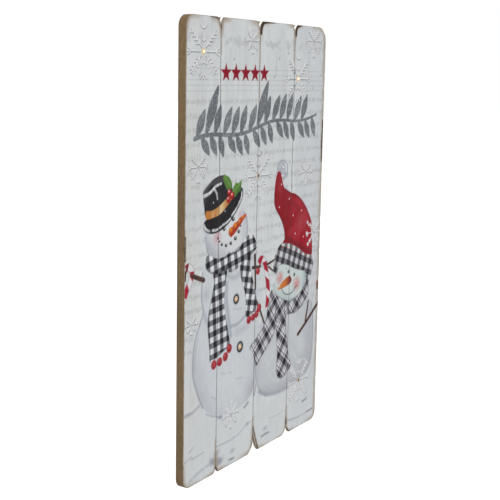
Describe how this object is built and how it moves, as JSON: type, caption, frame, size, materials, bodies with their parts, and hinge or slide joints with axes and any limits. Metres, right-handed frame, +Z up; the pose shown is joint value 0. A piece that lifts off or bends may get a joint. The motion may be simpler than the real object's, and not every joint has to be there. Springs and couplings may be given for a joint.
{
  "type": "lighted wooden plank wall sign",
  "caption": "Wall-hung wooden plank panel with painted snowmen, small warm lamps set through the face, and a battery box with sliding cover and switch behind.",
  "frame": {"origin": "middle notch of the sawtooth hanger, where the wall nail bears, on the plane of the battens' rear faces", "axes": "+Z up, -Y out of the painted front face towards the room, +X to the right seen from the front"},
  "size_m": [0.35, 0.0354, 0.6],
  "materials": {
    "painted_wood": "distressed matt paint over wood-fibre board, brown worn edges",
    "batten_wood": "planed softwood, unfinished",
    "screw_steel": "yellow zinc plate",
    "hanger_metal": "bright zinc plate",
    "lamp_lens": "clear resin lens, lit warm",
    "heat_shrink": "black heat-shrink tube",
    "hot_glue": "cloudy hot-melt glue",
    "wire_jacket": "white jacket",
    "foam_tape": "white foam tape",
    "box_plastic": "black moulded plastic, fine texture",
    "cover_plastic": "black moulded plastic, fine texture",
    "switch_metal": "tin-plated can",
    "switch_knob": "black knob",
    "circuit_board": "green solder mask, black sealed chip",
    "cell_jacket": "printed-film jacket, plain",
    "contact_metal": "nickel plate"
  },
  "bodies": {
    "sign": {"plank_left": "painted_wood", "plank_centre_left": "painted_wood", "plank_centre_right": "painted_wood", "plank_right": "painted_wood", "batten_upper": "batten_wood", "batten_lower": "batten_wood", "upper_batten_screws": "screw_steel", "lower_batten_screws": "screw_steel", "sawtooth_hanger": "hanger_metal", "hanger_brads": "hanger_metal", "led_top_left": "lamp_lens", "led_upper_right": "lamp_lens", "led_centre": "lamp_lens", "led_upper_button": "lamp_lens", "led_lower_button": "lamp_lens", "led_bottom_right": "lamp_lens", "led_sleeves": "heat_shrink", "led_glue_beads": "hot_glue", "wire_glue_dabs": "hot_glue", "wire_box_to_centre": "wire_jacket", "wire_centre_to_upper_right": "wire_jacket", "wire_upper_right_to_top_left": "wire_jacket", "wire_box_to_upper_button": "wire_jacket", "wire_upper_to_lower_button": "wire_jacket", "wire_lower_button_to_bottom_right": "wire_jacket", "mounting_tape": "foam_tape", "battery_tray": "box_plastic", "switch_body": "switch_metal", "timer_board": "circuit_board", "cell_left": "cell_jacket", "cell_right": "cell_jacket", "negative_spring": "contact_metal", "bridge_spring": "contact_metal", "negative_plate": "contact_metal", "positive_plate": "contact_metal", "bridge_plate": "contact_metal"},
    "cover": {"battery_cover": "cover_plastic"},
    "slider": {"switch_slider": "switch_knob"}
  },
  "joints": [
    {"name": "cover_slide", "type": "slide", "parent": "sign", "child": "cover", "axis": [0, 0, 1], "range_m": [0, 0.06]},
    {"name": "switch_slide", "type": "slide", "parent": "sign", "child": "slider", "axis": [1, 0, 0], "range_m": [-0.004, 0]}
  ]
}
